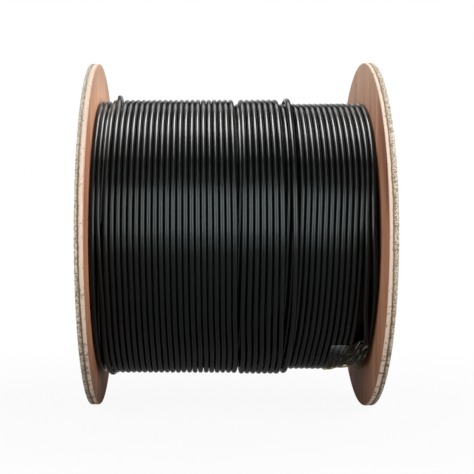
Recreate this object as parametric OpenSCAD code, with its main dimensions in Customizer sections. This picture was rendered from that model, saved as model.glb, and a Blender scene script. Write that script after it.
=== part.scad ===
// Wooden cable drum: plywood flanges clamped on a staved barrel, wound full of sheathed cable.
// Millimetres. The drum lies on its rims: X runs along its axis, Z is up, and Z = 0 is the floor.

/* [Flanges] */
// Diameter of each flange
flange_d = 400; // [360:1:600]
// Thickness of the flange plywood
flange_t = 9.5; // [8:0.5:20]
// Clear width between the flanges
traverse = 305; // [240:1:500]
// Width of the bevel sanded on each rim edge
rim_bevel = 0.8; // [0.2:0.1:2]
// Diameter of the arbor hole that the spindle passes through
arbor_d = 50; // [25:1:70]
// Diameter of the hole that lets the cable's inner end out
start_hole_d = 14; // [8:1:20]
// Wood left between that hole and the groove of the staves
start_hole_land = 2; // [1:0.5:6]
// Angle of that hole round the axis, from the back
start_hole_turn = 60; // [0:5:355]

/* [Barrel] */
// Diameter over the staves
barrel_d = 158; // [130:1:200]
// Number of staves
stave_count = 16; // [10:1:24]
// Thickness of a stave
stave_t = 12; // [8:0.5:16]
// Open joint between neighbouring staves
stave_gap = 0.8; // [0.4:0.1:2]
// Depth of the groove that seats the staves in each flange
groove_depth = 4; // [2:0.5:6]
// Radial play of a stave in its groove
groove_play = 0.3; // [0.1:0.1:1]

/* [Tie bolts] */
// Number of tie bolts
bolt_count = 4; // [3:1:6]
// Diameter of a bolt's shank
bolt_d = 8; // [6:1:10]
// Distance from the inside of the staves to the middle of a bolt
bolt_inset = 15; // [10:1:18]
// Diameter of a countersunk bolt head
bolt_head_d = 16; // [14:0.5:20]
// Height of a countersunk bolt head
bolt_head_h = 4.4; // [3:0.1:6]
// Diameter of a tee nut's plate
nut_plate_d = 22; // [16:0.5:24]
// Thickness of a tee nut's plate
nut_plate_t = 1.5; // [1:0.1:2]
// Wall of a tee nut's sleeve
nut_wall = 1.2; // [0.8:0.1:2]
// Length of a tee nut, plate and sleeve
nut_h = 8; // [5:0.5:8]
// Play of the bolts and nuts in the holes of the flanges
bolt_play = 0.25; // [0.1:0.05:0.6]
// Play of a bolt in its tee nut
thread_play = 0.05; // [0.02:0.01:0.1]
// Depth of bolt heads and nut plates below the flange face
flush_depth = 0.2; // [0:0.1:0.5]

/* [Cable] */
// Diameter of the cable
cable_d = 6.3; // [5:0.1:9]
// Full layers of cable on the barrel
full_layers = 14; // [6:1:15]
// Room between the staves and the first layer
winding_play = 0.3; // [0.1:0.1:1]
// Play between neighbouring turns of the top layer
turn_play = 0.07; // [0.02:0.01:0.3]
// Play between the top layer and the left flange
edge_play = 0.8; // [0.1:0.1:2]
// Turns of the top layer that lie beside the left flange
edge_turns = 2; // [1:1:4]
// Slack left open after those turns
edge_skip = 2.7; // [0.5:0.1:6]
// Width beside the right flange where the full layers lie bare
bare_width = 100; // [80:1:130]
// Slack left open within the top layer
top_skip = 2.9; // [0:0.1:6]
// Turns of the top layer that follow the slack
turns_after_skip = 7; // [2:1:10]
// Slack left open before the top layer's last turn
last_skip = 6.8; // [0.5:0.1:10]

/* [Tail and tape] */
// Width of the tape
tape_w = 45; // [30:1:60]
// Thickness of the tape, with its folds
tape_t = 0.4; // [0.2:0.1:1]
// Distance from the right flange to the edge of the tape
tape_margin = 2; // [0.5:0.5:6]
// Play between the cable's end, the tape and the turns below
lay_play = 0.4; // [0.3:0.1:0.8]

/* [Hidden] */

$fn = 96;
eps = 0.01;
axis_height = flange_d / 2;
inner_face = traverse / 2;
outer_face = inner_face + flange_t;
barrel_r = barrel_d / 2;
stave_inner = barrel_r - stave_t;
bolt_circle_r = stave_inner - bolt_inset;
cable_r = cable_d / 2;

// Layers nest in the valleys of the layer below, so each adds the height of a triangle of cables.
layer_rise = cable_d * sin(60);
bore_r = barrel_r + winding_play;
first_r = bore_r + cable_r;
under_r = first_r + (full_layers - 1) * layer_rise;
top_r = under_r + layer_rise;
valley_fill = cable_r / 2;

// A full layer has as many turns as fit side by side between the flanges.
under_turns = floor(traverse / cable_d);
under_pitch = traverse / under_turns;
under_half = inner_face - under_pitch / 2;

// The top layer lies in runs with slack between them: each run is its first place and its turns.
top_pitch = cable_d + turn_play;
edge_first = -inner_face + edge_play + cable_r;
main_first = edge_first + edge_turns * top_pitch + edge_skip;
wide_end = inner_face - bare_width - cable_r;
wide_turns = 1 + floor((wide_end - top_skip - main_first) / top_pitch);
main_turns = wide_turns - turns_after_skip;
after_first = main_first + main_turns * top_pitch + top_skip;
last_turn = after_first + turns_after_skip * top_pitch + last_skip;
top_runs = [
    [edge_first, edge_turns],
    [main_first, main_turns],
    [after_first, turns_after_skip],
    [last_turn, 1]
];

// The tape lies on the turns beside the flange and rises over the cable's end in its middle.
// It starts below the front and reaches to the floor side, past the cable's end by its lap.
tape_right = inner_face - tape_margin;
tape_left = tape_right - tape_w;
tape_angle = 222;
tape_sweep_angle = 90;
tape_lap_angle = 13;

// The cable's end rides on the full layers. It leaves the right flange behind the top, goes down
// the back while it crosses to the tape, and ends under it on the way up the front.
tail_r = under_r + cable_d + lay_play;
tail_from = inner_face - cable_r - lay_play;
tail_to = (tape_left + tape_right) / 2;
tail_angle = 60;
cross_angle = tape_angle + tape_sweep_angle - 360;
end_angle = tape_angle + tape_lap_angle - 360;
tail_rings = 28;
tail_sides = 10;
ring_angle = (tail_angle - end_angle) / tail_rings;
tape_low = under_r + cable_r + lay_play;
tape_high = tail_r + cable_r + lay_play;

// Turns its children about the drum's axis: their Z runs along the axis, from left to right,
// and their angle 0 is at the back, 90 at the top, 180 at the front and 270 at the floor.
module on_axis() {
    translate([0, 0, axis_height]) rotate([90, 0, 90]) children();
}

// Repeats its children on the bolt circle, halfway between the four sides.
module at_bolts() {
    for (i = [0 : bolt_count - 1])
        rotate([0, 0, (i + 0.5) * 360 / bolt_count])
            translate([bolt_circle_r, 0, 0]) children();
}

// One flange from its inner face at 0 to its outer face at flange_t, with its rim bevelled,
// its arbor hole and the groove that seats the staves.
module flange_blank() {
    rim_r = flange_d / 2;
    difference() {
        rotate_extrude()
            polygon([
                [arbor_d / 2, 0],
                [rim_r - rim_bevel, 0],
                [rim_r, rim_bevel],
                [rim_r, flange_t - rim_bevel],
                [rim_r - rim_bevel, flange_t],
                [arbor_d / 2, flange_t]
            ]);
        translate([0, 0, -eps]) difference() {
            cylinder(r = barrel_r + groove_play, h = groove_depth + eps);
            translate([0, 0, -eps])
                cylinder(r = stave_inner - groove_play, h = groove_depth + 3 * eps);
        }
    }
}

// The left flange takes the countersunk heads of the tie bolts.
module flange_left() {
    head_top = flange_t - flush_depth;
    color("#c0967a") on_axis() translate([0, 0, -inner_face]) mirror([0, 0, 1])
        difference() {
            flange_blank();
            at_bolts() {
                translate([0, 0, -eps])
                    cylinder(d = bolt_d + 2 * bolt_play, h = flange_t + 2 * eps);
                translate([0, 0, head_top - bolt_head_h])
                    cylinder(d1 = bolt_d + 2 * bolt_play, d2 = bolt_head_d + 2 * bolt_play,
                             h = bolt_head_h);
                translate([0, 0, head_top])
                    cylinder(d = bolt_head_d + 2 * bolt_play, h = flush_depth + eps);
            }
        }
}

// The right flange takes the tee nuts, and lets the cable's inner end out beside the barrel.
module flange_right() {
    sleeve_d = bolt_d + 2 * nut_wall;
    plate_seat = flange_t - flush_depth - nut_plate_t;
    start_hole_r = barrel_r + groove_play + start_hole_land + start_hole_d / 2;
    color("#b4876b") on_axis() translate([0, 0, inner_face])
        difference() {
            flange_blank();
            at_bolts() {
                translate([0, 0, -eps])
                    cylinder(d = sleeve_d + 2 * bolt_play, h = flange_t + 2 * eps);
                translate([0, 0, plate_seat])
                    cylinder(d = nut_plate_d + 2 * bolt_play, h = flange_t);
            }
            rotate([0, 0, start_hole_turn]) translate([start_hole_r, 0, -eps])
                cylinder(d = start_hole_d, h = flange_t + 2 * eps);
        }
}

// Section of one stave: a flat inner face, sides on the radius and the outside turned round.
// The sides reach past the outside, which cuts them.
module stave_section() {
    half_angle = 180 / stave_count;
    reach = barrel_d;
    function half_width(r) = r * tan(half_angle) - stave_gap / 2;
    intersection() {
        circle(r = barrel_r);
        polygon([
            [stave_inner, -half_width(stave_inner)],
            [reach, -half_width(reach)],
            [reach, half_width(reach)],
            [stave_inner, half_width(stave_inner)]
        ]);
    }
}

// Staves stand in the grooves of both flanges.
module barrel_staves() {
    stave_l = traverse + 2 * groove_depth;
    color("#d8b98c") on_axis() translate([0, 0, -stave_l / 2])
        for (i = [0 : stave_count - 1])
            rotate([0, 0, i * 360 / stave_count])
                linear_extrude(height = stave_l) stave_section();
}

// Each bolt runs from its head in the left flange into its tee nut in the right one.
module tie_bolts() {
    head_face = outer_face - flush_depth;
    bolt_l = 2 * head_face;
    color("#b9bcc0") on_axis() at_bolts()
        translate([0, 0, -head_face]) {
            cylinder(d1 = bolt_head_d, d2 = bolt_d, h = bolt_head_h);
            cylinder(d = bolt_d, h = bolt_l);
        }
}

// A tee nut's plate lies in the outer face, and its sleeve reaches into the flange.
module tee_nuts() {
    nut_face = outer_face - flush_depth;
    sleeve_d = bolt_d + 2 * nut_wall;
    color("#b9bcc0") on_axis() at_bolts()
        translate([0, 0, nut_face - nut_h])
            difference() {
                union() {
                    cylinder(d = sleeve_d, h = nut_h);
                    translate([0, 0, nut_h - nut_plate_t])
                        cylinder(d = nut_plate_d, h = nut_plate_t);
                }
                translate([0, 0, -eps])
                    cylinder(d = bolt_d + 2 * thread_play, h = nut_h + 2 * eps);
            }
}

// One run of side-by-side turns on the section of the coil: the radius is X, the axis is Y.
// A band through the turns and down into the layer below, or to the bore, makes them one piece.
// It ends inside the outermost turns, so that only their round backs show.
module turn_run(first, count, pitch, r) {
    run_w = (count - 1) * pitch;
    band_w = max(run_w, cable_d) - cable_r;
    band_floor = max(bore_r, r - layer_rise);
    for (i = [0 : count - 1])
        translate([r, first + i * pitch]) circle(r = cable_r);
    translate([band_floor, first + (run_w - band_w) / 2])
        square([r + valley_fill - band_floor, band_w]);
}

// The wound cable is one turned solid with the barrel's bore. The outermost turn of each layer
// shows on its ends, every other layer half a turn in. The round backs of the turns show where
// the full layers lie bare and on each run of the top layer.
module cable_coil() {
    color("#1d1e20") on_axis() rotate_extrude() {
        for (layer = [0 : full_layers - 2]) {
            nested = (full_layers - 1 - layer) % 2;
            half = under_half - nested * under_pitch / 2;
            turn_run(-half, 2, 2 * half, first_r + layer * layer_rise);
        }
        turn_run(-under_half, under_turns, under_pitch, under_r);
        for (run = top_runs)
            turn_run(run[0], run[1], top_pitch, top_r);
    }
}

// Eases from 0 to 1 as t does, level at both ends.
function ease(t) = let (s = min(1, max(0, t))) s * s * (3 - 2 * s);

// Place of the cable's end along the axis, and a point of its centre line, at an angle.
function tail_along(a) =
    tail_from + (tail_to - tail_from) * ease((tail_angle - a) / (tail_angle - cross_angle));
function tail_point(a) = [tail_r * cos(a), tail_r * sin(a), tail_along(a)];
function unit(v) = v / norm(v);

// A ring of points round the centre line, square to its run.
function tail_ring(a) =
    let (out = [cos(a), sin(a), 0],
         run = unit(tail_point(a - ring_angle / 2) - tail_point(a + ring_angle / 2)),
         side = unit(cross(run, out)),
         lift = cross(side, run))
    [for (k = [0 : tail_sides - 1])
        let (turn = 360 * k / tail_sides)
        tail_point(a) + cable_r * (cos(turn) * lift + sin(turn) * side)];

// The cable's end crosses the bare turns at the back and comes up to the tape at the front.
module cable_tail() {
    points = [for (j = [0 : tail_rings]) each tail_ring(tail_angle - ring_angle * j)];
    function at(j, k) = j * tail_sides + k % tail_sides;
    walls = [for (j = [0 : tail_rings - 1], k = [0 : tail_sides - 1])
        each [[at(j, k), at(j, k + 1), at(j + 1, k)],
              [at(j, k + 1), at(j + 1, k + 1), at(j + 1, k)]]];
    start_cap = [[for (k = [tail_sides - 1 : -1 : 0]) at(0, k)]];
    end_cap = [[for (k = [0 : tail_sides - 1]) at(tail_rings, k)]];
    color("#1d1e20") on_axis()
        polyhedron(points = points, faces = concat(walls, start_cap, end_cap));
}

// The tape is bent over the turns and over the cable's end, from the front down to the floor side.
module end_tape() {
    rise = tape_high - tape_low;
    crown = cable_r;
    foot = cable_r + rise;
    outline = [
        [tape_low, tape_left],
        [tape_low, tail_to - foot],
        [tape_high, tail_to - crown],
        [tape_high, tail_to + crown],
        [tape_low, tail_to + foot],
        [tape_low, tape_right]
    ];
    back = [for (i = [len(outline) - 1 : -1 : 0]) outline[i] + [tape_t, 0]];
    color("#4b4a46") on_axis() rotate([0, 0, tape_angle])
        rotate_extrude(angle = tape_sweep_angle) polygon(concat(outline, back));
}

flange_left();
flange_right();
barrel_staves();
tie_bolts();
tee_nuts();
cable_coil();
cable_tail();
end_tape();
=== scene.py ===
"""Wooden cable drum: plywood flanges on a staved barrel, wound full of black sheathed cable."""

import math
import random

import bpy
import numpy as np
from bpy.props import FloatProperty, FloatVectorProperty, IntProperty, PointerProperty
from mathutils import Color, Matrix, Vector


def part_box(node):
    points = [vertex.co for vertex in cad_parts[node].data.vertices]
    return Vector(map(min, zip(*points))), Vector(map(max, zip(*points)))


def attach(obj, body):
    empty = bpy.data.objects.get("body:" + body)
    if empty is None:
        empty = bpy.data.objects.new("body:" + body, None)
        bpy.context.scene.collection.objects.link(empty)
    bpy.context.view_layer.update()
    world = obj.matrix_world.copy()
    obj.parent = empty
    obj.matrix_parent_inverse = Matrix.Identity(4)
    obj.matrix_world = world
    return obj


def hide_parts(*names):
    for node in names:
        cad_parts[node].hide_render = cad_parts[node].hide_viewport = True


bl_info = {
    "name": "Wooden cable drum",
    "version": (1, 0, 0),
    "blender": (4, 5, 0),
    "location": "View3D > Sidebar > Cable drum",
    "description": "Dresses the packed solids of a wooden cable drum",
    "category": "Object",
}

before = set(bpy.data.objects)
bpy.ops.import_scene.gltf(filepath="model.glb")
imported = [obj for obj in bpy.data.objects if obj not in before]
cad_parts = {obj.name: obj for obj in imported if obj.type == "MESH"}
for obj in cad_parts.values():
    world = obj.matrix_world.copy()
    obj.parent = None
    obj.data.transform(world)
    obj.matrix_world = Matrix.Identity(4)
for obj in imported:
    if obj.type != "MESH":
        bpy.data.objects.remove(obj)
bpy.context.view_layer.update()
LEFT_LOW, LEFT_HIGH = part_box("flange_left")
STAVE_LOW, STAVE_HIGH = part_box("barrel_staves")
TAPE_LOW, TAPE_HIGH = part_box("end_tape")
MM = 0.001
AXIS_HEIGHT = (LEFT_HIGH.z + LEFT_LOW.z) / 2
INNER_FACE, OUTER_FACE = -LEFT_HIGH.x, -LEFT_LOW.x
ALONG_AXIS = (0, math.pi / 2, 0)
DIAGONALS = [math.radians(45 + 90 * i) for i in range(4)]
# The play round the staves, and how far the bolts and nuts lie below the flanges' outer faces.
PLAY, SUNK = 0.3 * MM, 0.2 * MM
# The slit in the right rim: its angle, its middle past the inner face, and its size along the
# axis, into the rim and round it.
SLIT_ANGLE, SLIT_X = math.radians(227), 2 * MM
SLIT_SIZE = (4.4 * MM, 4 * MM, 1.8 * MM)
# Where a turn that touches a flange lies, in mm from the middle of the drum.
END_PLACE = 149.2
# The picture's side, the focal length and the lens's shift, in pixels.
PICTURE, FOCAL, SHIFT = 474, 1045.07, (57.6, -3.8)


def linear(code):
    """Linear RGBA of an sRGB hex value, or of a colour that is linear already."""
    if not isinstance(code, str):
        return (*code, 1)
    parts = [int(code[i:i + 2], 16) / 255 for i in (1, 3, 5)]
    return (*(p / 12.92 if p <= 0.04045 else ((p + 0.055) / 1.055) ** 2.4 for p in parts), 1)


class DrumSizes(bpy.types.PropertyGroup):
    """Sizes of the drum's pieces."""

    flange_radius: FloatProperty(
        name="Flange radius", description="From the axis to the rim of a flange",
        default=(LEFT_HIGH.y - LEFT_LOW.y) / 2, subtype="DISTANCE")
    flange_thickness: FloatProperty(
        name="Flange thickness", description="Thickness of the flange plywood",
        default=LEFT_HIGH.x - LEFT_LOW.x, subtype="DISTANCE")
    inner_face: FloatProperty(
        name="Inner face", description="From the middle of the drum to the inside of a flange",
        default=INNER_FACE, subtype="DISTANCE")
    axis_height: FloatProperty(
        name="Axis height", description="Height of the drum's axis above the floor",
        default=AXIS_HEIGHT, subtype="DISTANCE")
    arbor_radius: FloatProperty(
        name="Arbor radius", description="Radius of the hole for the spindle",
        default=0.025, subtype="DISTANCE")
    barrel_radius: FloatProperty(
        name="Barrel radius", description="Radius over the staves",
        default=(STAVE_HIGH.z - STAVE_LOW.z) / 2, subtype="DISTANCE")
    stave_thickness: FloatProperty(
        name="Stave thickness", description="Thickness of a stave",
        default=0.012, subtype="DISTANCE")
    groove_depth: FloatProperty(
        name="Groove depth", description="Depth of the groove that seats the staves",
        default=STAVE_HIGH.x + LEFT_HIGH.x, subtype="DISTANCE")
    bolt_circle: FloatProperty(
        name="Bolt circle", description="From the axis to the middle of a tie bolt",
        default=0.052, subtype="DISTANCE")
    bolt_radius: FloatProperty(
        name="Bolt radius", description="Radius of a tie bolt's shank",
        default=0.004, subtype="DISTANCE")
    cable_radius: FloatProperty(
        name="Cable radius", description="Radius of the cable over its sheath",
        default=0.00302, subtype="DISTANCE")
    low_layer: FloatProperty(
        name="Lower layer", description="Radius of the full layer that lies bare on the right",
        default=0.1529, subtype="DISTANCE")
    top_layer: FloatProperty(
        name="Top layer", description="Radius of the part layer on top",
        default=0.15785, subtype="DISTANCE")
    slack: FloatProperty(
        name="Slack", description="How far the outer turns hang below the axis",
        default=0.0024, subtype="DISTANCE")
    turn_steps: IntProperty(
        name="Steps in a turn", description="Straight pieces in one turn of the outer cable",
        default=128, min=48, max=160)


class DrumColours(bpy.types.PropertyGroup):
    """Colours of the drum's materials."""

    veneer: FloatVectorProperty(
        name="Veneer", description="Middle tone of the reddish face veneer",
        default=linear("#bf8768")[:3], subtype="COLOR", min=0, max=1)
    sheath: FloatVectorProperty(
        name="Sheath", description="Black of the cable's sheath",
        default=linear("#090c0c")[:3], subtype="COLOR", min=0, max=1)
    stave: FloatVectorProperty(
        name="Staves", description="Sawn softwood of the barrel",
        default=linear("#cfae80")[:3], subtype="COLOR", min=0, max=1)
    zinc: FloatVectorProperty(
        name="Zinc", description="Plating of the bolts and nuts",
        default=linear("#b9bcc0")[:3], subtype="COLOR", min=0, max=1)
    # The tape's olive tint is partly a painted reflection of the flange's wood.
    film: FloatVectorProperty(
        name="Tape", description="Tint of the clear tape",
        default=linear("#868672")[:3], subtype="COLOR", min=0, max=1)
    floor: FloatVectorProperty(
        name="Floor", description="Plain floor, as it lights the drum",
        default=linear("#b0b0b0")[:3], subtype="COLOR", min=0, max=1)


def add_node(tree, kind, inputs=(), stops=None, **settings):
    """Adds a node with its settings, fills or links its inputs and returns it.

    Inputs go by name or number, or in order. A node among them links its first active output.
    Map Range maps inputs 1 and 2 to 3 and 4, and Mix blends 6 with 7, or 2 with 3 for numbers.
    """
    made = tree.nodes.new("ShaderNode" + kind)
    for name, value in settings.items():
        setattr(made, name, value)
    for key, value in inputs.items() if isinstance(inputs, dict) else enumerate(inputs):
        if isinstance(value, bpy.types.Node):
            value = next(socket for socket in value.outputs if socket.enabled)
        if isinstance(value, bpy.types.NodeSocket):
            tree.links.new(value, made.inputs[key])
        else:
            is_colour = isinstance(value, (str, Color))
            made.inputs[key].default_value = linear(value) if is_colour else value
    if stops:
        ramp = made.color_ramp.elements
        ramp.remove(ramp[1])
        for place, code in stops[1:]:
            ramp.new(place).color = linear(code)
        ramp[0].position, ramp[0].color = stops[0][0], linear(stops[0][1])
    return made


def new_material(name):
    """A material with an empty node tree."""
    material = bpy.data.materials.new(name)
    material.use_nodes = True
    material.node_tree.nodes.clear()
    return material, material.node_tree


def okoume_veneer(colours):
    """Peeled reddish hardwood veneer, sanded and bare: long straight streaks up the face."""
    material, tree = new_material("okoume_veneer")
    place = add_node(tree, "TexCoord").outputs["Object"]
    axes = add_node(tree, "SeparateXYZ", [place])
    height = axes.outputs["Z"]
    # Streaks about 12 mm wide and 250 mm long, fibres 1.5 mm wide and 60 mm long, and pores 0.7 mm
    # wide and 12 mm long. After scaling they are turned off the noise's own axes.
    streak_at, fibre_at, pore_at = (
        add_node(tree, "Mapping", {"Vector": place, "Scale": scale, "Rotation": (0.5, 0.4, 0.3)})
        for scale in ((37, 85, 4), (90, 650, 16), (90, 1400, 80)))
    streak = add_node(tree, "TexNoise", {
        "Vector": streak_at, "Scale": 1, "Detail": 5, "Roughness": 0.6, "Distortion": 0.5})
    fibre = add_node(tree, "TexNoise", {
        "Vector": fibre_at, "Scale": 1, "Detail": 3, "Roughness": 0.6})
    pore = add_node(tree, "TexNoise", {"Vector": pore_at, "Scale": 1, "Detail": 1})
    patch = add_node(tree, "TexNoise", {"Vector": place, "Scale": 11})
    tone = add_node(tree, "ValToRGB", [streak], stops=[
        (0.26, "#7d4d37"), (0.42, "#a87054"), (0.55, colours.veneer), (0.74, "#d9ae8c")])
    # Warm patches are about 90 mm wide, and the top is paler, as painted light from above.
    warm = add_node(tree, "ValToRGB", [patch], stops=[(0.42, "#000000"), (0.62, "#b0b0b0")])
    warmed = add_node(tree, "Mix", {0: warm, 6: tone, 7: "#cb8a62"}, data_type="RGBA")
    high = add_node(tree, "MapRange", [height, 0.31, 0.4, 0, 0.55])
    warm_and_top_lit = add_node(tree, "Mix", {0: high, 6: warmed, 7: "#d8c0a8"}, data_type="RGBA")
    # Inside, the right flange is darker along the front of its rim, partly a real figure and
    # partly painted shade from the cable. It follows the streaks and fades out 68 mm wide and 240
    # mm long.
    inside = add_node(tree, "Math", [axes.outputs["X"], INNER_FACE, 3 * MM], operation="COMPARE")
    figure_and_shade_at = add_node(tree, "Mapping", {
        "Vector": place, "Location": (0, -0.18, 0.274), "Rotation": (-0.46, 0, 0),
        "Scale": (100, 0.034, 0.12)}, vector_type="TEXTURE")
    away = add_node(tree, "VectorMath", [figure_and_shade_at], operation="LENGTH")
    patchy = add_node(tree, "MapRange", [away, 0.25, 1, 1, 0], interpolation_type="SMOOTHSTEP")
    figure = add_node(tree, "MapRange", [streak, 0.42, 0.62, 1, 0.65])
    figure_and_shade_mask = add_node(tree, "Math", [patchy, figure], operation="MULTIPLY")
    there = add_node(tree, "Math", [figure_and_shade_mask, inside], operation="MULTIPLY")
    figure_and_painted_shade = add_node(tree, "Mix", {
        0: there, 6: warm_and_top_lit, 7: "#b4a090"}, data_type="RGBA", blend_type="MULTIPLY")
    shade = add_node(tree, "MapRange", [fibre, 0.3, 0.7, 0.84, 1.12])
    # Painted shade darkens the lowest part, towards the floor.
    low_painted_shade = add_node(tree, "MapRange", [height, 0, 0.16, 0.5, 1])
    fibre_and_low_shade = add_node(tree, "Math", [shade, low_painted_shade], operation="MULTIPLY")
    # The left flange is paler inside and browner along its rim.
    round_at = add_node(tree, "Mapping", {
        "Vector": place, "Location": (0, 0, -AXIS_HEIGHT), "Scale": (0, 1, 1)})
    radius = add_node(tree, "VectorMath", [round_at], operation="LENGTH")
    browned = add_node(tree, "MapRange", [radius, 0.162, 0.192, 1.22, 0.84])
    left = add_node(tree, "Math", [axes.outputs["X"], 0], operation="LESS_THAN")
    worn = add_node(tree, "Mix", {0: left, 2: 1, 3: browned}, data_type="FLOAT")
    fibre_low_shade_and_rim_tone = add_node(tree, "Math", [fibre_and_low_shade, worn], operation="MULTIPLY")
    fibred = add_node(tree, "Mix", {
        0: 1, 6: figure_and_painted_shade, 7: fibre_low_shade_and_rim_tone}, data_type="RGBA", blend_type="MULTIPLY")
    pit = add_node(tree, "MapRange", [pore, 0.62, 0.72, 0, 0.45])
    pitted = add_node(tree, "Mix", {0: pit, 6: fibred, 7: "#5e3a2a"}, data_type="RGBA")
    rough = add_node(tree, "MapRange", [fibre, 0.2, 0.8, 0.55, 0.75])
    relief = add_node(tree, "Bump", {"Strength": 0.35, "Distance": 0.0003, "Height": fibre})
    shader = add_node(tree, "BsdfPrincipled", {
        "Base Color": pitted, "Roughness": rough, "Normal": relief, "Specular IOR Level": 0.3})
    add_node(tree, "OutputMaterial", {"Surface": shader})
    return material


def plywood_edge():
    """Sawn edge of the plywood: a broad cream ply, a dark torn core ply and a pale outer ply."""
    material, tree = new_material("plywood_edge")
    place = add_node(tree, "TexCoord").outputs["Object"]
    axes = add_node(tree, "SeparateXYZ", [place])
    height = axes.outputs["Z"]
    across = add_node(tree, "Math", [axes.outputs["X"]], operation="ABSOLUTE")
    # The plies waver by a few tenths of a millimetre over 20 mm, and the core is torn at 2 mm.
    waver = add_node(tree, "TexNoise", {"Vector": place, "Scale": 50})
    torn = add_node(tree, "TexNoise", {
        "Vector": place, "Scale": 420, "Detail": 3, "Roughness": 0.7})
    depth = add_node(tree, "MapRange", [across, INNER_FACE, OUTER_FACE], clamp=False)
    # Higher up, the left flange's core runs nearer the outside and is paler, and the right
    # flange's runs nearer the inside.
    left = add_node(tree, "Math", [axes.outputs["X"], 0], operation="LESS_THAN")
    upper = add_node(tree, "MapRange", [height, 0.08, 0.25, -0.08, 0.12])
    inner = add_node(tree, "MapRange", [height, 0.12, 0.2, 0, -0.12])
    drift = add_node(tree, "Mix", {0: left, 2: inner, 3: upper}, data_type="FLOAT")
    drifted = add_node(tree, "Math", [depth, drift], operation="SUBTRACT")
    fading = add_node(tree, "MapRange", [height, 0.25, 0.33, 0, 0.55])
    faded = add_node(tree, "Math", [left, fading], operation="MULTIPLY")
    sway = add_node(tree, "Math", [waver, 0.16, drifted], operation="MULTIPLY_ADD")
    tear = add_node(tree, "Math", [torn, 0.2, sway], operation="MULTIPLY_ADD")
    plies = add_node(tree, "ValToRGB", [tear], stops=[
        (0.16, "#cb997f"), (0.22, "#dec7b6"), (0.58, "#d8c2ac"), (0.64, "#9b8066"),
        (0.7, "#64513f"), (0.79, "#7d6b57"), (0.86, "#c6b6a2"), (1, "#d6c8b6")])
    # Open end grain peppers the core ply and the ply outside it, in specks of 1.5 mm.
    pepper = add_node(tree, "TexNoise", {"Vector": place, "Scale": 640, "Roughness": 0.6})
    outward = add_node(tree, "MapRange", [depth, 0.38, 0.56, -0.2, 0.06])
    peppery = add_node(tree, "Math", [pepper, outward], operation="ADD")
    pits = add_node(tree, "MapRange", [peppery, 0.52, 0.64, 0, 0.85])
    paler = add_node(tree, "Mix", {0: faded, 6: plies, 7: "#c9baa8"}, data_type="RGBA")
    pitted = add_node(tree, "Mix", {0: pits, 6: paler, 7: "#5a4937"}, data_type="RGBA")
    # Knocks darken the rim in gouges about 5 mm long, and they gather towards the floor, partly as
    # painted shade there.
    knock = add_node(tree, "TexNoise", {
        "Vector": place, "Scale": 190, "Detail": 4, "Roughness": 0.65})
    low = add_node(tree, "MapRange", [height, 0.02, 0.22, 0.1, 0])
    gouge_and_low_shade = add_node(tree, "Math", [knock, low], operation="ADD")
    gouge_and_shade_mask = add_node(tree, "MapRange", [gouge_and_low_shade, 0.6, 0.7, 0, 0.75])
    knocked_and_low_shade = add_node(tree, "Mix", {0: gouge_and_shade_mask, 6: pitted, 7: "#5b4a39"}, data_type="RGBA")
    # The slit in the right rim is painted dark: painted shade in its narrow recess.
    back = Matrix.Rotation(-SLIT_ANGLE, 3, "X") @ Vector((0, 0, AXIS_HEIGHT))
    slit_at = add_node(tree, "Mapping", {
        "Vector": place, "Location": -back, "Rotation": (-SLIT_ANGLE, 0, 0)})
    slit_axes = add_node(tree, "SeparateXYZ", [slit_at])
    out = add_node(tree, "Math", [slit_axes.outputs["Y"], 0.19], operation="GREATER_THAN")
    round_it = add_node(tree, "Math", [
        slit_axes.outputs["Z"], 0, SLIT_SIZE[2] / 2 + 0.2 * MM], operation="COMPARE")
    along = add_node(tree, "Math", [
        axes.outputs["X"], INNER_FACE + SLIT_X, SLIT_SIZE[0] / 2 + 0.1 * MM], operation="COMPARE")
    there = add_node(tree, "Math", [out, round_it], operation="MULTIPLY")
    slit = add_node(tree, "Math", [there, along], operation="MULTIPLY")
    glued = add_node(tree, "Mix", {0: slit, 6: knocked_and_low_shade, 7: "#4c3c30"}, data_type="RGBA")
    relief = add_node(tree, "Bump", {"Strength": 0.6, "Distance": 0.0006, "Height": torn})
    shader = add_node(tree, "BsdfPrincipled", {
        "Base Color": glued, "Roughness": 0.8, "Normal": relief, "Specular IOR Level": 0.25})
    add_node(tree, "OutputMaterial", {"Surface": shader})
    return material


def sawn_spruce(colours):
    """Sawn softwood: pale, with straight growth lines along the stave and a fuzzy saw finish."""
    material, tree = new_material("sawn_spruce")
    place = add_node(tree, "TexCoord").outputs["Object"]
    # Growth lines 3 mm apart run along the staves, with saw fuzz of about 1 mm.
    line_at = add_node(tree, "Mapping", {"Vector": place, "Scale": (4, 330, 330)})
    line = add_node(tree, "TexNoise", {
        "Vector": line_at, "Scale": 1, "Detail": 4, "Distortion": 0.4})
    fuzz = add_node(tree, "TexNoise", {"Vector": place, "Scale": 900})
    tone = add_node(tree, "ValToRGB", [line], stops=[
        (0.3, "#a97f50"), (0.5, colours.stave), (0.7, "#e2c89d")])
    relief = add_node(tree, "Bump", {"Strength": 0.4, "Distance": 0.0004, "Height": fuzz})
    shader = add_node(tree, "BsdfPrincipled", {
        "Base Color": tone, "Roughness": 0.8, "Normal": relief})
    add_node(tree, "OutputMaterial", {"Surface": shader})
    return material


def zinc_plate(colours):
    """Zinc-plated steel: a grey metal with a slightly cloudy, satin surface."""
    material, tree = new_material("zinc_plate")
    place = add_node(tree, "TexCoord").outputs["Object"]
    cloud = add_node(tree, "TexNoise", {"Vector": place, "Scale": 260, "Detail": 3})
    tone = add_node(tree, "ValToRGB", [cloud], stops=[
        (0.3, "#9a9da2"), (0.6, colours.zinc), (0.8, "#c6c2b4")])
    rough = add_node(tree, "MapRange", [cloud, 0.3, 0.7, 0.28, 0.45])
    shader = add_node(tree, "BsdfPrincipled", {
        "Base Color": tone, "Roughness": rough, "Metallic": 1})
    add_node(tree, "OutputMaterial", {"Surface": shader})
    return material


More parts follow.
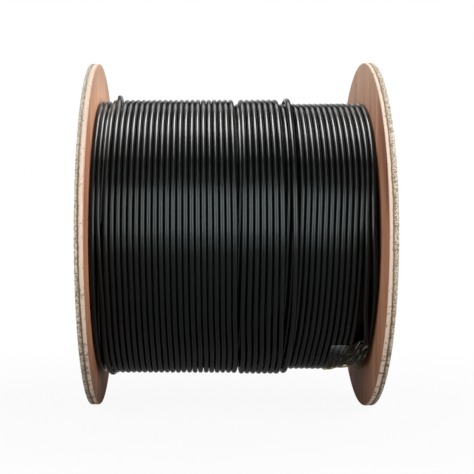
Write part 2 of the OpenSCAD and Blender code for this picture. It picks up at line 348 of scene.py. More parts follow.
def black_sheath(colours):
    """Extruded black sheath: satin, with faint draw lines along the cable and handling marks."""
    material, tree = new_material("extruded_black_sheath")
    place = add_node(tree, "TexCoord")
    # Draw lines are about 0.4 mm wide round the cable and metres long.
    drawn_at = add_node(tree, "Mapping", {"Vector": place.outputs["UV"], "Scale": (90, 40, 1)})
    drawn = add_node(tree, "TexNoise", {"Vector": drawn_at, "Scale": 1})
    mark = add_node(tree, "TexNoise", {
        "Vector": place.outputs["Object"], "Scale": 70, "Detail": 4, "Roughness": 0.6})
    tone = add_node(tree, "ValToRGB", [mark], stops=[
        (0.35, "#070a0a"), (0.6, colours.sheath), (0.8, "#0f1212")])
    rough = add_node(tree, "MapRange", [mark, 0.3, 0.7, 0.18, 0.24])
    relief = add_node(tree, "Bump", {"Strength": 0.08, "Distance": 0.0002, "Height": drawn})
    shader = add_node(tree, "BsdfPrincipled", {
        "Base Color": tone, "Roughness": rough, "Normal": relief, "Specular IOR Level": 0.22})
    add_node(tree, "OutputMaterial", {"Surface": shader})
    return material


def clear_film(colours):
    """Clear packing tape: a thin glossy film, hazy where its glue has not taken."""
    material, tree = new_material("clear_tape_film")
    place = add_node(tree, "TexCoord").outputs["Object"]
    # Folds are whitened and carry painted highlights, and patches about 7 mm wide are cloudy.
    haze_and_glints = add_node(tree, "Attribute", attribute_name="haze_and_glints")
    cloud = add_node(tree, "TexNoise", {
        "Vector": place, "Scale": 140, "Detail": 3, "Roughness": 0.6})
    dull = add_node(tree, "MapRange", [cloud, 0.45, 0.75, 0, 0.02])
    haze = add_node(tree, "Math", [haze_and_glints.outputs["Fac"], 0.6, dull], operation="MULTIPLY_ADD")
    clear = add_node(tree, "BsdfTransparent", {"Color": "#f0ece0"})
    # Away from the turns that it is stuck to, it takes an olive tint, partly its own and partly a
    # painted reflection of the flange's wood.
    across = add_node(tree, "SeparateXYZ", [place])
    olive_reflection_share = add_node(tree, "MapRange", [across.outputs["X"], 0.119, 0.126, 0, 1])
    tint = add_node(tree, "Mix", {0: olive_reflection_share, 6: "#97a1a6", 7: colours.film}, data_type="RGBA")
    # Where that layer is strongest the film turns pale cream, which paints its highlights.
    glint_share = add_node(tree, "MapRange", [haze_and_glints.outputs["Fac"], 0.6, 1.2, 0, 0.8])
    painted_glint_colour = add_node(tree, "Mix", {0: glint_share, 6: tint, 7: "#d2dcec"}, data_type="RGBA")
    matt = add_node(tree, "BsdfDiffuse", {"Color": painted_glint_colour})
    body = add_node(tree, "MixShader", [haze, clear, matt])
    # Its glued side doesn't shine.
    edge = add_node(tree, "Fresnel", {"IOR": 1.17})
    side = add_node(tree, "NewGeometry")
    glued = add_node(tree, "Math", [1, side.outputs["Backfacing"]], operation="SUBTRACT")
    faint = add_node(tree, "Math", [edge, 0.045], operation="MINIMUM")
    shine = add_node(tree, "Math", [faint, glued], operation="MULTIPLY")
    gloss = add_node(tree, "BsdfGlossy", {"Color": "#ffffff", "Roughness": 0.12})
    shader = add_node(tree, "MixShader", [shine, body, gloss])
    add_node(tree, "OutputMaterial", {"Surface": shader})
    return material


def select_only(*pieces):
    """Deselects everything, then selects the pieces and makes the first one active."""
    bpy.ops.object.select_all(action="DESELECT")
    for piece in pieces:
        piece.select_set(True)
    bpy.context.view_layer.objects.active = pieces[0]


def dress(piece, name, materials, slot, *nodes):
    """Names a finished piece, gives it its materials and ties it to the solids it stands for."""
    piece.name = name
    piece.data.name = name
    piece.data.materials.clear()
    for material in materials:
        piece.data.materials.append(material)
    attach(piece, "root")
    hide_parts(*nodes)


def smooth(piece, degrees):
    """Shades a piece smooth, with edges that turn more sharply left hard."""
    select_only(piece)
    bpy.ops.object.shade_smooth_by_angle(angle=math.radians(degrees))


def polar(radius, angle, sizes):
    """Place across the drum at a radius and angle round its axis."""
    return radius * math.cos(angle), sizes.axis_height + radius * math.sin(angle)


def turned(rows, y, z, steps, solid=False):
    """Walks a circle along places and radii: round a closed profile, or as a solid bar."""
    along, radius = rows[0]
    bpy.ops.mesh.primitive_circle_add(
        vertices=steps, radius=radius, fill_type="NGON" if solid else "NOTHING",
        location=(along, y, z), rotation=ALONG_AXIS)
    piece = bpy.context.object
    bpy.ops.object.transform_apply(location=True, rotation=True, scale=True)
    bpy.ops.object.mode_set(mode="EDIT")
    bpy.ops.mesh.select_all(action="SELECT")
    extrude = bpy.ops.mesh.extrude_region_move if solid else bpy.ops.mesh.extrude_edges_move
    following = rows[1:] if solid else rows[1:] + rows[:1]
    for (old_x, old_r), (new_x, new_r) in zip(rows, following):
        extrude(TRANSFORM_OT_translate={"value": (new_x - old_x, 0, 0)})
        bpy.ops.transform.resize(
            value=(1, new_r / old_r, new_r / old_r), center_override=(new_x, y, z))
    bpy.ops.mesh.select_all(action="SELECT")
    if not solid:
        bpy.ops.mesh.remove_doubles(threshold=0.001 * MM)
    bpy.ops.mesh.normals_make_consistent(inside=False)
    bpy.ops.object.mode_set(mode="OBJECT")
    return piece


def bolt_places(sizes):
    """Places of the four tie bolts across the drum."""
    return [polar(sizes.bolt_circle, angle, sizes) for angle in DIAGONALS]


def at_bolts(sizes, low, high, low_r, high_r):
    """Holes at the four tie bolts, to drill."""
    return [(low, high, y, z, low_r, high_r) for y, z in bolt_places(sizes)]


def drill(piece, holes):
    """Cuts round holes, each given as its two ends along the axis, its place and its radii."""
    cutters = []
    for low, high, y, z, low_r, high_r in holes:
        bpy.ops.mesh.primitive_cone_add(
            vertices=48, radius1=low_r, radius2=high_r, depth=high - low,
            location=((low + high) / 2, y, z), rotation=ALONG_AXIS)
        cutters.append(bpy.context.object)
    cut_away(piece, cutters)


def block(size, place, angle):
    """A box that is turned round the drum's axis, to cut with."""
    bpy.ops.mesh.primitive_cube_add(size=1, scale=size, location=place, rotation=(angle, 0, 0))
    return bpy.context.object


def cut_away(piece, cutters):
    """Subtracts cutters that don't touch each other from a piece."""
    select_only(*cutters)
    if len(cutters) > 1:
        bpy.ops.object.join()
    cutter = bpy.context.object
    select_only(piece)
    cut = piece.modifiers.new("cut", "BOOLEAN")
    cut.object = cutter
    cut.solver = "EXACT"
    bpy.ops.object.modifier_apply(modifier=cut.name)
    bpy.data.objects.remove(cutter)


def flange_rows(sizes, side):
    """Profile of a flange from its bore over the inner face and the rim to the outer face."""
    thick, rim, bore = sizes.flange_thickness, sizes.flange_radius, sizes.arbor_radius
    groove_out = sizes.barrel_radius + PLAY
    groove_in = sizes.barrel_radius - sizes.stave_thickness - PLAY
    bevel, edge = 0.4 * MM, 0.8 * MM
    # Across the rim, in mm from the inner face and below the rim, with the core ply sunk.
    plies = ((0.3, 0.25), (0.8, 0), (2.2, 0), (3.6, 0), (4.5, 0.05), (4.8, 0.4), (5.3, 0.45),
             (5.8, 0.4), (6.1, 0.05), (7.2, 0))
    rows = [
        (bevel, bore), (0, bore + bevel), (0, groove_in), (sizes.groove_depth, groove_in),
        (sizes.groove_depth, groove_out), (0, groove_out), (0, rim - edge),
        *((x * MM, rim - below * MM) for x, below in plies),
        (thick - edge, rim), (thick - 0.3 * MM, rim - 0.25 * MM), (thick, rim - edge),
        (thick, bore + bevel), (thick - bevel, bore),
    ]
    return [(side * (sizes.inner_face + x), r) for x, r in rows]


def roughen_rim(piece, sizes):
    """Tears the core ply and chips the rim, more so towards the floor."""
    core_share, rim_share, floor_share = 0.55, 0.16, 0.45
    group = piece.vertex_groups.new(name="rim")
    for v in piece.data.vertices:
        below = sizes.flange_radius - math.hypot(v.co.y, v.co.z - sizes.axis_height)
        if below < 0.6 * MM:
            share = core_share if below > 0.03 * MM else rim_share
            low = max(0.0, 1 - v.co.z / sizes.axis_height)
            group.add([v.index], min(1.0, share + floor_share * low), "REPLACE")
    grain = bpy.data.textures.new("torn_grain", "CLOUDS")
    grain.noise_scale = 4.5 * MM
    grain.noise_depth = 2
    tear = piece.modifiers.new("tear", "DISPLACE")
    tear.texture = grain
    tear.texture_coords = "LOCAL"
    tear.vertex_group = group.name
    tear.strength = 1.1 * MM
    tear.mid_level = 0.72
    select_only(piece)
    bpy.ops.object.modifier_apply(modifier=tear.name)
    piece.vertex_groups.clear()


class DRUM_OT_flanges(bpy.types.Operator):
    """Makes both plywood flanges, with their grooves, holes and torn rims"""

    bl_idname = "cable_drum.flanges"
    bl_label = "Flanges"

    def execute(self, context):
        sizes, colours = context.scene.drum_sizes, context.scene.drum_colours
        materials = [okoume_veneer(colours), plywood_edge()]
        inner, outer = sizes.inner_face, sizes.inner_face + sizes.flange_thickness
        for side, name in ((-1, "flange_left"), (1, "flange_right")):
            piece = turned(flange_rows(sizes, side), 0, sizes.axis_height, steps=512)
            roughen_rim(piece, sizes)
            if side < 0:
                # The bolts' shanks pass through, and their heads have countersunk seats.
                shank, head, seat = sizes.bolt_radius + 0.25 * MM, 8.5 * MM, 4.6 * MM
                drill(piece, at_bolts(sizes, -outer - MM, -inner + MM, shank, shank))
                drill(piece, at_bolts(sizes, -outer - 0.1 * MM, -outer + seat, head, shank))
            else:
                # The tee nuts' sleeves and plates have room, and the cable's inner end a hole.
                sleeve, plate, recess = sizes.bolt_radius + 1.45 * MM, 11.25 * MM, 1.7 * MM
                exit_r, exit_angle = 7 * MM, math.radians(60)
                exit_at = polar(sizes.barrel_radius + 9.3 * MM, exit_angle, sizes)
                drill(piece, at_bolts(sizes, inner - MM, outer + MM, sleeve, sleeve)
                      + [(inner - MM, outer + MM, *exit_at, exit_r, exit_r)])
                drill(piece, at_bolts(sizes, outer - recess, outer + MM, plate, plate))
                # The joint of two lengths of the inner ply shows as a slit in the rim.
                slit = (inner + SLIT_X, *polar(sizes.flange_radius, SLIT_ANGLE, sizes))
                cut_away(piece, [block(SLIT_SIZE, slit, SLIT_ANGLE)])
            dress(piece, name, materials, "plywood", name)
            for polygon in piece.data.polygons:
                flat = abs(polygon.normal.x) > 0.95
                off = min(abs(abs(polygon.center.x) - face) for face in (inner, outer))
                polygon.material_index = 0 if flat and off < 0.05 * MM else 1
            smooth(piece, degrees=20)
        return {"FINISHED"}


class DRUM_OT_staves(bpy.types.Operator):
    """Gives the barrel's staves their sawn softwood"""

    bl_idname = "cable_drum.staves"
    bl_label = "Staves"

    def execute(self, context):
        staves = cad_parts["barrel_staves"]
        staves.data.materials.clear()
        staves.data.materials.append(sawn_spruce(context.scene.drum_colours))
        return {"FINISHED"}


def copy_round(piece, sizes):
    """Repeats a piece made at the first bolt's place at the other three."""
    select_only(piece)
    bpy.ops.object.mode_set(mode="EDIT")
    bpy.ops.mesh.select_all(action="SELECT")
    for _ in range(3):
        bpy.ops.mesh.duplicate()
        bpy.ops.transform.rotate(
            value=math.pi / 2, orient_axis="X", center_override=(0, 0, sizes.axis_height))
    bpy.ops.object.mode_set(mode="OBJECT")


class DRUM_OT_tie_bolts(bpy.types.Operator):
    """Makes the four countersunk tie bolts with their hexagon sockets"""

    bl_idname = "cable_drum.tie_bolts"
    bl_label = "Tie bolts"

    def execute(self, context):
        sizes, colours = context.scene.drum_sizes, context.scene.drum_colours
        shank, head, bevel = sizes.bolt_radius, 8 * MM, 0.8 * MM
        face = sizes.inner_face + sizes.flange_thickness - SUNK
        y, z = bolt_places(sizes)[0]
        bolt = turned([
            (-face, head - 0.3 * MM), (-face + 0.3 * MM, head), (-face + 0.7 * MM, head),
            (-face + 4.4 * MM, shank), (0, shank), (face - bevel, shank), (face, shank - bevel)],
            y, z, steps=32, solid=True)
        bpy.ops.mesh.primitive_cylinder_add(
            vertices=6, radius=2.9 * MM, depth=6 * MM, location=(-face, y, z), rotation=ALONG_AXIS)
        cut_away(bolt, [bpy.context.object])
        copy_round(bolt, sizes)
        dress(bolt, "tie_bolts", [zinc_plate(colours)], "zinc_steel", "tie_bolts")
        smooth(bolt, degrees=30)
        return {"FINISHED"}


class DRUM_OT_tee_nuts(bpy.types.Operator):
    """Makes the four tee nuts with their punched plates"""

    bl_idname = "cable_drum.tee_nuts"
    bl_label = "Tee nuts"

    def execute(self, context):
        sizes = context.scene.drum_sizes
        plate, plate_t, depth = 11 * MM, 1.5 * MM, 8 * MM
        hole = sizes.bolt_radius + 0.05 * MM
        sleeve = hole + 1.15 * MM
        face = sizes.inner_face + sizes.flange_thickness - SUNK
        y, z = bolt_places(sizes)[0]
        nut = turned([
            (face, plate - 0.3 * MM), (face - 0.3 * MM, plate), (face - plate_t, plate),
            (face - plate_t, sleeve), (face - depth, sleeve)],
            y, z, steps=48, solid=True)
        drill(nut, [(face - depth - MM, face + MM, y, z, hole, hole)])
        notch, out = (6 * MM, 2.6 * MM, 3 * MM), 10.4 * MM
        cut_away(nut, [block(notch, (face, y + out * math.cos(a), z + out * math.sin(a)), a)
                       for a in DIAGONALS])
        copy_round(nut, sizes)
        dress(nut, "tee_nuts", [bpy.data.materials["zinc_plate"]], "zinc_steel", "tee_nuts")
        smooth(nut, degrees=30)
        return {"FINISHED"}


def eased(knots, s):
    """Smooth values through knots that never overshoot, at the places s."""
    x, y = np.array(knots, float).T
    h = np.diff(x)
    rise = np.diff(y) / h
    slope = np.zeros_like(y)
    same = rise[:-1] * rise[1:] > 0
    w1, w2 = 2 * h[1:] + h[:-1], h[1:] + 2 * h[:-1]
    safe = np.where(rise == 0, 1, rise)
    slope[1:-1] = np.where(same, (w1 + w2) / (w1 / safe[:-1] + w2 / safe[1:]), 0)
    k = np.clip(np.searchsorted(x, s, "right") - 1, 0, len(h) - 1)
    t = (s - x[k]) / h[k]
    return (y[k] * (1 + 2 * t) * (1 - t) ** 2 + h[k] * slope[k] * t * (1 - t) ** 2
            + y[k + 1] * t * t * (3 - 2 * t) + h[k] * slope[k + 1] * t * t * (t - 1))


def turn_of(run, i):
    """Places of turn i of a run, which lists angles with the first turn's place and the pitch."""
    return [(s, x + pitch * i) for s, x, pitch in run]


def low_turn(i):
    """Places of one turn of the lower layer, which steps across up the front.

    Turns below zero lie under the part layer on top, at an even pitch.
    """
    run = ((0, 62.9, 6.34), (32, 63.5, 6.34), (50, 65.5, 6.36), (62, 66.9, 6.3),
           (94, 69.8, 6.22), (110, 71.5, 6.28), (139, 71.9, 6.36), (205, 71.9, 6.36))
    if i < 0:
        return [(s, max(-END_PLACE, x - 1.4 + 6.33 * i)) for s, x, pitch in run]
    return turn_of(run, i)


def outer_winding(sizes):
    """Knots of the outer cable: degrees run from the floor up the front, and mm along and off."""
    top, low = sizes.top_layer / MM, sizes.low_layer / MM
    edge = top - 1.3
    loose = random.Random(11)
    along, off = [(-150, -END_PLACE), (-40, -148.0)], [(-150, low), (-40, edge)]
    # Two turns lie beside the left flange, the second pulled across at the floor.
    turns = [
        ([(0, -148.2), (94, -148.3), (139, -148.1), (180, -147.8)], [(0, edge), (180, edge)]),
        ([(0, -137.4), (30, -139.4), (62, -138.6), (80, -140.5), (100, -142.6), (180, -142.5)],
         [(0, top + 2.6), (25, top + 1.6), (70, edge), (180, edge)])]
    # Then come runs of 22 and 7 turns, and one turn apart.
    run = ((0, -132.8, 6.48), (32, -132.8, 6.48), (60, -132.9, 6.37), (94, -134.3, 6.4),
           (139, -133.3, 6.31), (180, -133.3, 6.31))
    turns += [(turn_of(run, i), [(0, top), (180, top)]) for i in range(22)]
    # The second turn of that run rides over its neighbour behind the top.
    rides = 3
    turns[rides] = (
        turns[rides][0][:4] + [(139, -126.9), (160, -127.8), (180, -130.8), (194, -132.2),
                               (228, -132.2)],
        [(0, top), (150, top), (166, top + 2.6), (180, top + 6.6), (194, top + 7.4),
         (235, top + 5.6)])
    run = ((0, 11.8, 6.74), (32, 11.5, 6.78), (60, 9.0, 6.86), (94, 10.3, 6.6), (139, 11.2, 6.44),
           (180, 11.5, 6.46))
    turns += [(turn_of(run, i), [(0, top + 0.8), (80, top), (180, top)]) for i in range(7)]
    turns.append(([(0, 60.4), (32, 60.9), (60, 63.0), (94, 62.9), (139, 62.8), (180, 64.2)],
                  [(0, top), (60, top + 0.6), (94, top + 1.2), (180, top + 1.3)]))
    # The lower layer lies bare from there. Its last turns have sunk below the front.
    sunk = {9: [(0, low - 1.4), (24, low - 0.6), (45, low), (180, low)],
            10: [(0, low - 3.0), (20, low - 2.2), (45, low), (62, low - 2.4), (82, low - 2.4),
                 (96, low), (180, low)],
            11: [(0, low - 2.6), (24, low - 2.0), (50, low), (180, low)],
            12: [(0, low - 5), (55, low - 4.5), (80, low - 1.5), (94, low), (180, low)]}
    pulled = {11: [(0, 144.5), (32, 144.3), (46, 142.8), (62, 138.6), (94, 137.8), (110, 139.6),
                   (139, 141.9), (205, 141.9)],
              12: [(0, END_PLACE), (62, 148.2), (80, 146.0), (94, 144.6), (139, 148.1),
                   (180, 148.8)]}
    turns += [(pulled.get(i, low_turn(i)), sunk.get(i, [(0, low), (180, low)]))
              for i in range(13)]
    # Each turn lies a little loose, and steps across to the next one behind and below.
    for n, (places, heights) in enumerate(turns):
        for s, x in places:
            along.append((360 * n + s, x + loose.uniform(-0.1, 0.1)))
        if places[-1][0] < 200:
            along.append((360 * n + 205 + loose.uniform(-8, 8), places[-1][1]))
        if n + 1 < len(turns):
            along.append((360 * n + 332 + loose.uniform(-8, 8), turns[n + 1][0][0][1]))
        for s, r in heights:
            off.append((360 * n + s, r + loose.uniform(-0.12, 0.12)))
    # The end crosses down the back and comes up under the tape, in the slack beside the flange.
    last = 360 * (len(turns) - 1)
    tail = low + 6.4
    off += [(last + 190, low), (last + 216, tail), (last + 300, tail), (last + 338, low - 4.0),
            (last + 376, low - 3.6), (last + 400, low - 0.6)]
    along += [(last + 216, 148.6), (last + 330, 136.0), (last + 400, 136.4)]
    return along, off


def under_winding(sizes):
    """Knots of the layer below, which shows only in the slack between the outer turns."""
    low, count = sizes.low_layer / MM, 34
    along = [(360 * n + s, x) for n in range(count) for s, x in low_turn(n - count)]
    return along, [(360 * n, low) for n in range(count + 1)]


def wound(along, off, sizes, steps, sides):
    """Bends a round cable along its knots and makes it a mesh."""
    first, last = along[0][0], min(along[-1][0], off[-1][0])
    s = np.linspace(first, last, int((last - first) / 360 * steps))
    x, r = eased(along, s) * MM, eased(off, s) * MM
    angle = np.radians(270 - s)
    path = np.stack([x, r * np.cos(angle), sizes.axis_height - sizes.slack + r * np.sin(angle),
                     np.ones_like(s)], 1)
    curve = bpy.data.curves.new("winding", "CURVE")
    curve.dimensions = "3D"
    curve.bevel_depth = sizes.cable_radius
    curve.bevel_resolution = sides // 2 - 2
    curve.use_fill_caps = True
    spline = curve.splines.new("POLY")
    spline.points.add(len(path) - 1)
    spline.points.foreach_set("co", path.astype(np.float32).ravel())
    piece = bpy.data.objects.new("winding", curve)
    bpy.context.scene.collection.objects.link(piece)
    select_only(piece)
    bpy.ops.object.convert(target="MESH")
    return bpy.context.object


class DRUM_OT_cable(bpy.types.Operator):
    """Winds the outer cable with its end, the layer below it and the core of inner layers"""

    bl_idname = "cable_drum.cable"
    bl_label = "Cable"

    def execute(self, context):
        sizes, colours = context.scene.drum_sizes, context.scene.drum_colours
        sheath = black_sheath(colours)
        outer = wound(*outer_winding(sizes), sizes, steps=sizes.turn_steps, sides=12)
        dress(outer, "cable_outer_turns", [sheath], "cable_sheath", "cable_coil", "cable_tail")
        under = wound(*under_winding(sizes), sizes, steps=72, sides=8)
        dress(under, "cable_under_turns", [sheath], "cable_sheath", "cable_coil")
        # The end turns of the inner layers stand out at both ends of the core.
        layers, radius = 12, 3.15 * MM
        rise = 2 * radius * math.sin(math.radians(60))
        inside = sizes.barrel_radius + PLAY
        right = [(sizes.inner_face - 0.1 * MM + radius * (math.cos(a) - 1 - layer % 2),
                  inside + radius * (math.sin(a) + 1) + layer * rise)
                 for layer in range(layers) for a in np.radians((-60, -20, 20, 60))]
        end = sizes.inner_face - 4 * MM
        rows = [(end, inside), *right, *((-x, r) for x, r in reversed(right)), (-end, inside)]
        core = turned(rows, 0, sizes.axis_height, steps=96)
        dress(core, "cable_inner_layers", [sheath], "cable_sheath", "cable_coil")
        smooth(core, degrees=60)
        return {"FINISHED"}


def step(t):
    """Eases from 0 to 1 while t does."""
    t = max(0.0, min(1.0, t))
    return t * t * (3 - 2 * t)


def bell(x, centre, width):
    """A smooth bump of height 1 round a centre."""
    return math.exp(-((x - centre) / width) ** 2)


def crease_film(film, sizes):
    """Lays a flat unit grid on the turns as creased film, and marks its whitening, haze and
    painted highlights.

    Places across it, runs down it and heights are in mm, and angles in degrees.
    """
    left, right = TAPE_LOW.x / MM + 1.8, TAPE_HIGH.x / MM - 0.6
    low = (sizes.low_layer + sizes.cable_radius) / MM
    length, top_angle, low_angle = 230, 229.6, 312
    pitch, end_x = 6.35, 138.5
    # Folds run obliquely down the film: their places across it, heights and half widths.
    folds = ((125.6, 1.0, 1.6), (131.5, 0.9, 1.3), (136.2, 1.4, 1.8), (140.6, 1.0, 1.3),
             (144.8, 1.5, 1.7), (149.0, 1.1, 1.6))
    haze_and_glint_layer = film.data.attributes.new("haze_and_glints", "FLOAT", "POINT")
    for v in film.data.vertices:
        x = left + (v.co.x + 0.5) * (right - left)
        run = (v.co.y + 0.5) ** 1.5 * length
        # The film starts higher over the cable's end.
        start = top_angle - 4.6 * bell(x, end_x, 6)
        angle = start + run / length * (low_angle - start)
        oblique = x + 0.19 * run + 0.8 * math.sin(run / 7)
        crease = max(h * max(0.0, 1 - abs(oblique - at) / w) for at, h, w in folds)
        ridge = max(h * max(0.0, 1 - abs(oblique - at) / 0.6) for at, h, w in folds)
        crease += 0.5 * step((x - 124) / 6) * abs((oblique * 0.13 + run / 11) % 1 - 0.5)
        # On the left it is stuck to the turns, dips between them and is hazy at its top.
        turn = math.cos(2 * math.pi * (x + 0.14 * run - 114.6) / pitch)
        crest = max(0.0, turn)
        stuck = 1 - step((x - 118) / 8)
        haze = 0.65 * max(0.0, 1 - run / 22) ** 2 * (0.7 + 0.6 * crest)
        band = (1 - stuck) * (0.5 + 0.5 * math.sin(2 * math.pi * (oblique - 126) / 7.4)) ** 2
        # Its ridges are whitened and carry painted highlights, and its cut edges and a crumpled
        # spot at the bottom are painted highlights.
        haze_and_glint_layer.data[v.index].value = (
            ridge * (0.1 + 0.9 * math.sin(run / 6 + x / 3) ** 2) + 0.03 * band
            + stuck * (0.08 * crest ** 1.5 + haze)
            + 0.4 * max(0.0, 1 - run / 0.8) + 0.25 * max(0.0, 1 - (x - left) / 0.8)
            + 1.3 * bell(x, 133.5, 1.3) * bell(angle, 259, 5))
        r = low + 0.15 + crease - 2.9 * step((x - 113) / 11) * step((angle - 243) / 14)
        r -= 0.5 * stuck * (1 - turn) / 2
        # It bulges over the cable's end, sinks below it and stands off beside the flange.
        below = step((angle - 242) / 14)
        r += (1.6 - 3.4 * below) * bell(x, end_x, 4)
        r += (2.0 + 0.4 * below) * step((x - 140) / 6)
        y, z = polar(r * MM, math.radians(angle), sizes)
        v.co = (x * MM, y, z - sizes.slack)


class DRUM_OT_tape(bpy.types.Operator):
    """Lays the creased clear tape over the cable's end"""

    bl_idname = "cable_drum.tape"
    bl_label = "Tape"

    def execute(self, context):
        sizes, colours = context.scene.drum_sizes, context.scene.drum_colours
        bpy.ops.mesh.primitive_grid_add(x_subdivisions=150, y_subdivisions=190, size=1)
        film = bpy.context.object
        crease_film(film, sizes)
        select_only(film)
        bpy.ops.object.mode_set(mode="EDIT")
        bpy.ops.mesh.select_all(action="SELECT")
        bpy.ops.mesh.normals_make_consistent(inside=False)
        bpy.ops.object.mode_set(mode="OBJECT")
        wall = film.modifiers.new("wall", "SOLIDIFY")
        wall.thickness = 0.08 * MM
        bpy.ops.object.modifier_apply(modifier=wall.name)
        dress(film, "end_tape", [clear_film(colours)], "clear_tape", "end_tape")
        smooth(film, degrees=24)
        return {"FINISHED"}


def pale_floor(colours):
    """Plain pale floor: it takes the drum's shadow and fades to white away from it."""
    material, tree = new_material("pale_floor")
    place = add_node(tree, "TexCoord").outputs["Object"]
    path = add_node(tree, "LightPath")
    away = add_node(tree, "VectorMath", [place], operation="LENGTH")
    # Reflections show a little of its white beside the drum and none farther out.
    near = add_node(tree, "MapRange", [away, 0.2, 0.4, 0.05, 0])
    seen = add_node(tree, "Math", [
        path.outputs["Is Glossy Ray"], near, path.outputs["Is Camera Ray"]],
        operation="MULTIPLY_ADD")
    shown = add_node(tree, "Math", [
        seen, path.outputs["Is Transmission Ray"]], operation="MAXIMUM")
    share = add_node(tree, "MapRange", [away, 0.25, 0.7, 0.93, 1])
    white = add_node(tree, "Math", [shown, share], operation="MULTIPLY")
    matt = add_node(tree, "BsdfDiffuse", {"Color": colours.floor})
    glow = add_node(tree, "Emission", {"Color": "#ffffff"})
    both = add_node(tree, "MixShader", [white, matt, glow])
    add_node(tree, "OutputMaterial", {"Surface": both})
    return material


def white_backdrop():
    """White studio backdrop, which the camera and reflections see as plain white."""
    material, tree = new_material("white_backdrop")
    path = add_node(tree, "LightPath")
    seen = add_node(tree, "Math", [
        path.outputs["Is Camera Ray"], path.outputs["Is Glossy Ray"]], operation="MAXIMUM")
    shown = add_node(tree, "Math", [
        seen, path.outputs["Is Transmission Ray"]], operation="MAXIMUM")
    level = add_node(tree, "MapRange", {0: shown, 3: 0.3, 4: 1})
    glow = add_node(tree, "Emission", {"Color": "#ffffff", "Strength": level})
    add_node(tree, "OutputMaterial", {"Surface": glow})
    return material


def area_lamp(name, place, aim, width, height, radiance, tint="#ffffff", diffuse=True,
              glossy=True):
    """A soft panel at a place, turned to an aim, with the radiance and tint that it shows."""
    lamp = bpy.data.lights.new(name, "AREA")
    lamp.shape = "RECTANGLE"
    lamp.size, lamp.size_y = width, height
    lamp.energy = radiance * math.pi * width * height
    lamp.color = linear(tint)[:3]
    panel = bpy.data.objects.new(name, lamp)
    bpy.context.scene.collection.objects.link(panel)
    back = (Vector(place) - Vector(aim)).normalized().to_track_quat("Z", "Y")
    panel.matrix_world = Matrix.Translation(place) @ back.to_matrix().to_4x4()
    panel.visible_camera = False
    panel.visible_diffuse = diffuse
    panel.visible_glossy = glossy


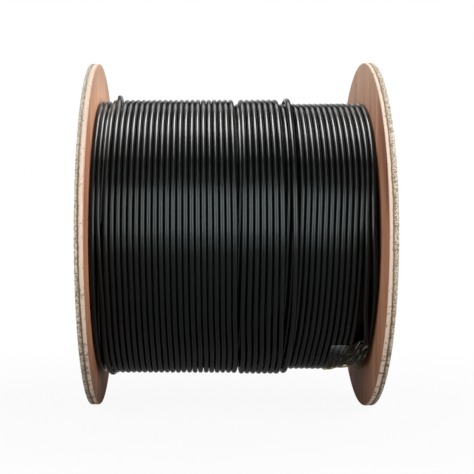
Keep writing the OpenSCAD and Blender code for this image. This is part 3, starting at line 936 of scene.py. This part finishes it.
class DRUM_OT_stage(bpy.types.Operator):
    """Sets the camera, the pale floor and the soft studio light"""

    bl_idname = "cable_drum.stage"
    bl_label = "Stage"

    def execute(self, context):
        scene = context.scene
        sizes, colours = scene.drum_sizes, scene.drum_colours
        bpy.ops.mesh.primitive_plane_add(size=24)
        floor = context.object
        floor.name = "floor"
        floor.data.materials.append(pale_floor(colours))

        bpy.ops.mesh.primitive_plane_add(
            size=1, location=(0, 3, 1.2), rotation=(math.pi / 2, 0, 0), scale=(14, 2.4, 1))
        backdrop = context.object
        backdrop.name = "backdrop"
        bpy.ops.object.transform_apply(location=True, rotation=True, scale=True)
        backdrop.data.materials.append(white_backdrop())

        world = bpy.data.worlds.new("dim_studio")
        scene.world = world
        world.use_nodes = True
        tree = world.node_tree
        tree.nodes.clear()
        # The room is dim, and the camera sees it white past the backdrop's edges.
        path = add_node(tree, "LightPath")
        shown = add_node(tree, "Math", [
            path.outputs["Is Camera Ray"], path.outputs["Is Transmission Ray"]],
            operation="MAXIMUM")
        dim = add_node(tree, "MapRange", {0: path.outputs["Is Glossy Ray"], 3: 0.3, 4: 0.05})
        level = add_node(tree, "Math", [shown, dim], operation="MAXIMUM")
        glow = add_node(tree, "Background", {"Color": "#ffffff", "Strength": level})
        add_node(tree, "OutputWorld", {"Surface": glow})

        middle = (0, 0, sizes.axis_height)
        # Bright panels that only reflections show draw the lines of light along the cable.
        area_lamp("overhead_strip", (-0.1, 0.19, 1.9), (0, 0.05, 0.3), 0.95, 1.02, 19,
                  diffuse=False)
        area_lamp("overhead_front", (0, -0.5, 1.85), middle, 0.85, 0.45, 8.5, diffuse=False)
        area_lamp("overhead_back", (0, 1.1, 1.65), middle, 1.0, 0.8, 2.4, diffuse=False)
        area_lamp("front_top", (0, -1.2, 1.4), middle, 1.2, 0.8, 2.2, diffuse=False)
        # Soft lamps that reflections don't show give the wood its plain level of light.
        area_lamp("overhead_key", (0.3, -0.1, 2.0), middle, 1.8, 1.4, 0.5, glossy=False)
        for side, front, back in ((-1, 3.2, 2.2), (1, 5.2, 4.8)):
            area_lamp("front_panel", (side, -1.15, 0.68), middle, 1.7, 0.9, 6.9,
                      tint="#f1fdff", diffuse=False)
            area_lamp("front_low", (side, -1.15, 0.12), middle, 1.7, 0.26, 2.4,
                      tint="#f1fdff", diffuse=False)
            area_lamp("front_key", (1.3 * side, -1.5, 1.25), middle, 1.5, 1.5, front, glossy=False)
            area_lamp("back_key", (1.35 * side, 0.75, 0.95), middle, 1.2, 1.2, back, glossy=False)

        data = bpy.data.cameras.new("camera")
        data.sensor_width = 36
        # The picture is cropped off the middle of the lens, so the lens is shifted.
        data.lens = data.sensor_width * FOCAL / PICTURE
        data.shift_x, data.shift_y = SHIFT[0] / PICTURE, SHIFT[1] / PICTURE
        data.clip_start, data.clip_end = 0.05, 60
        camera = bpy.data.objects.new("camera", data)
        scene.collection.objects.link(camera)
        down, turn = 0.0006, 0.0224
        camera.location = (-33 * MM, -1241 * MM, sizes.axis_height + 1.9 * MM)
        camera.rotation_euler = (math.pi / 2 - down, 0, turn)
        scene.camera = camera
        scene.view_settings.view_transform = "Standard"
        return {"FINISHED"}


class DRUM_PT_sidebar(bpy.types.Panel):
    """Lists the drum's sizes, colours and pieces."""

    bl_idname = "DRUM_PT_sidebar"
    bl_label = "Cable drum"
    bl_space_type = "VIEW_3D"
    bl_region_type = "UI"
    bl_category = "Cable drum"

    def draw(self, context):
        for group in (context.scene.drum_sizes, context.scene.drum_colours):
            column = self.layout.column(align=True)
            for name in group.__annotations__:
                column.prop(group, name)
        column = self.layout.column(align=True)
        for operator in OPERATORS:
            column.operator(operator.bl_idname)


OPERATORS = (DRUM_OT_stage, DRUM_OT_flanges, DRUM_OT_staves, DRUM_OT_tie_bolts, DRUM_OT_tee_nuts,
             DRUM_OT_cable, DRUM_OT_tape)
CLASSES = (DrumSizes, DrumColours, *OPERATORS, DRUM_PT_sidebar)


def register():
    for made in CLASSES:
        bpy.utils.register_class(made)
    bpy.types.Scene.drum_sizes = PointerProperty(type=DrumSizes)
    bpy.types.Scene.drum_colours = PointerProperty(type=DrumColours)


def unregister():
    del bpy.types.Scene.drum_colours
    del bpy.types.Scene.drum_sizes
    for made in reversed(CLASSES):
        bpy.utils.unregister_class(made)


def main():
    register()
    bpy.ops.cable_drum.stage()
    bpy.ops.cable_drum.flanges()
    bpy.ops.cable_drum.staves()
    bpy.ops.cable_drum.tie_bolts()
    bpy.ops.cable_drum.tee_nuts()
    bpy.ops.cable_drum.cable()
    bpy.ops.cable_drum.tape()


if __name__ == "__main__":
    main()
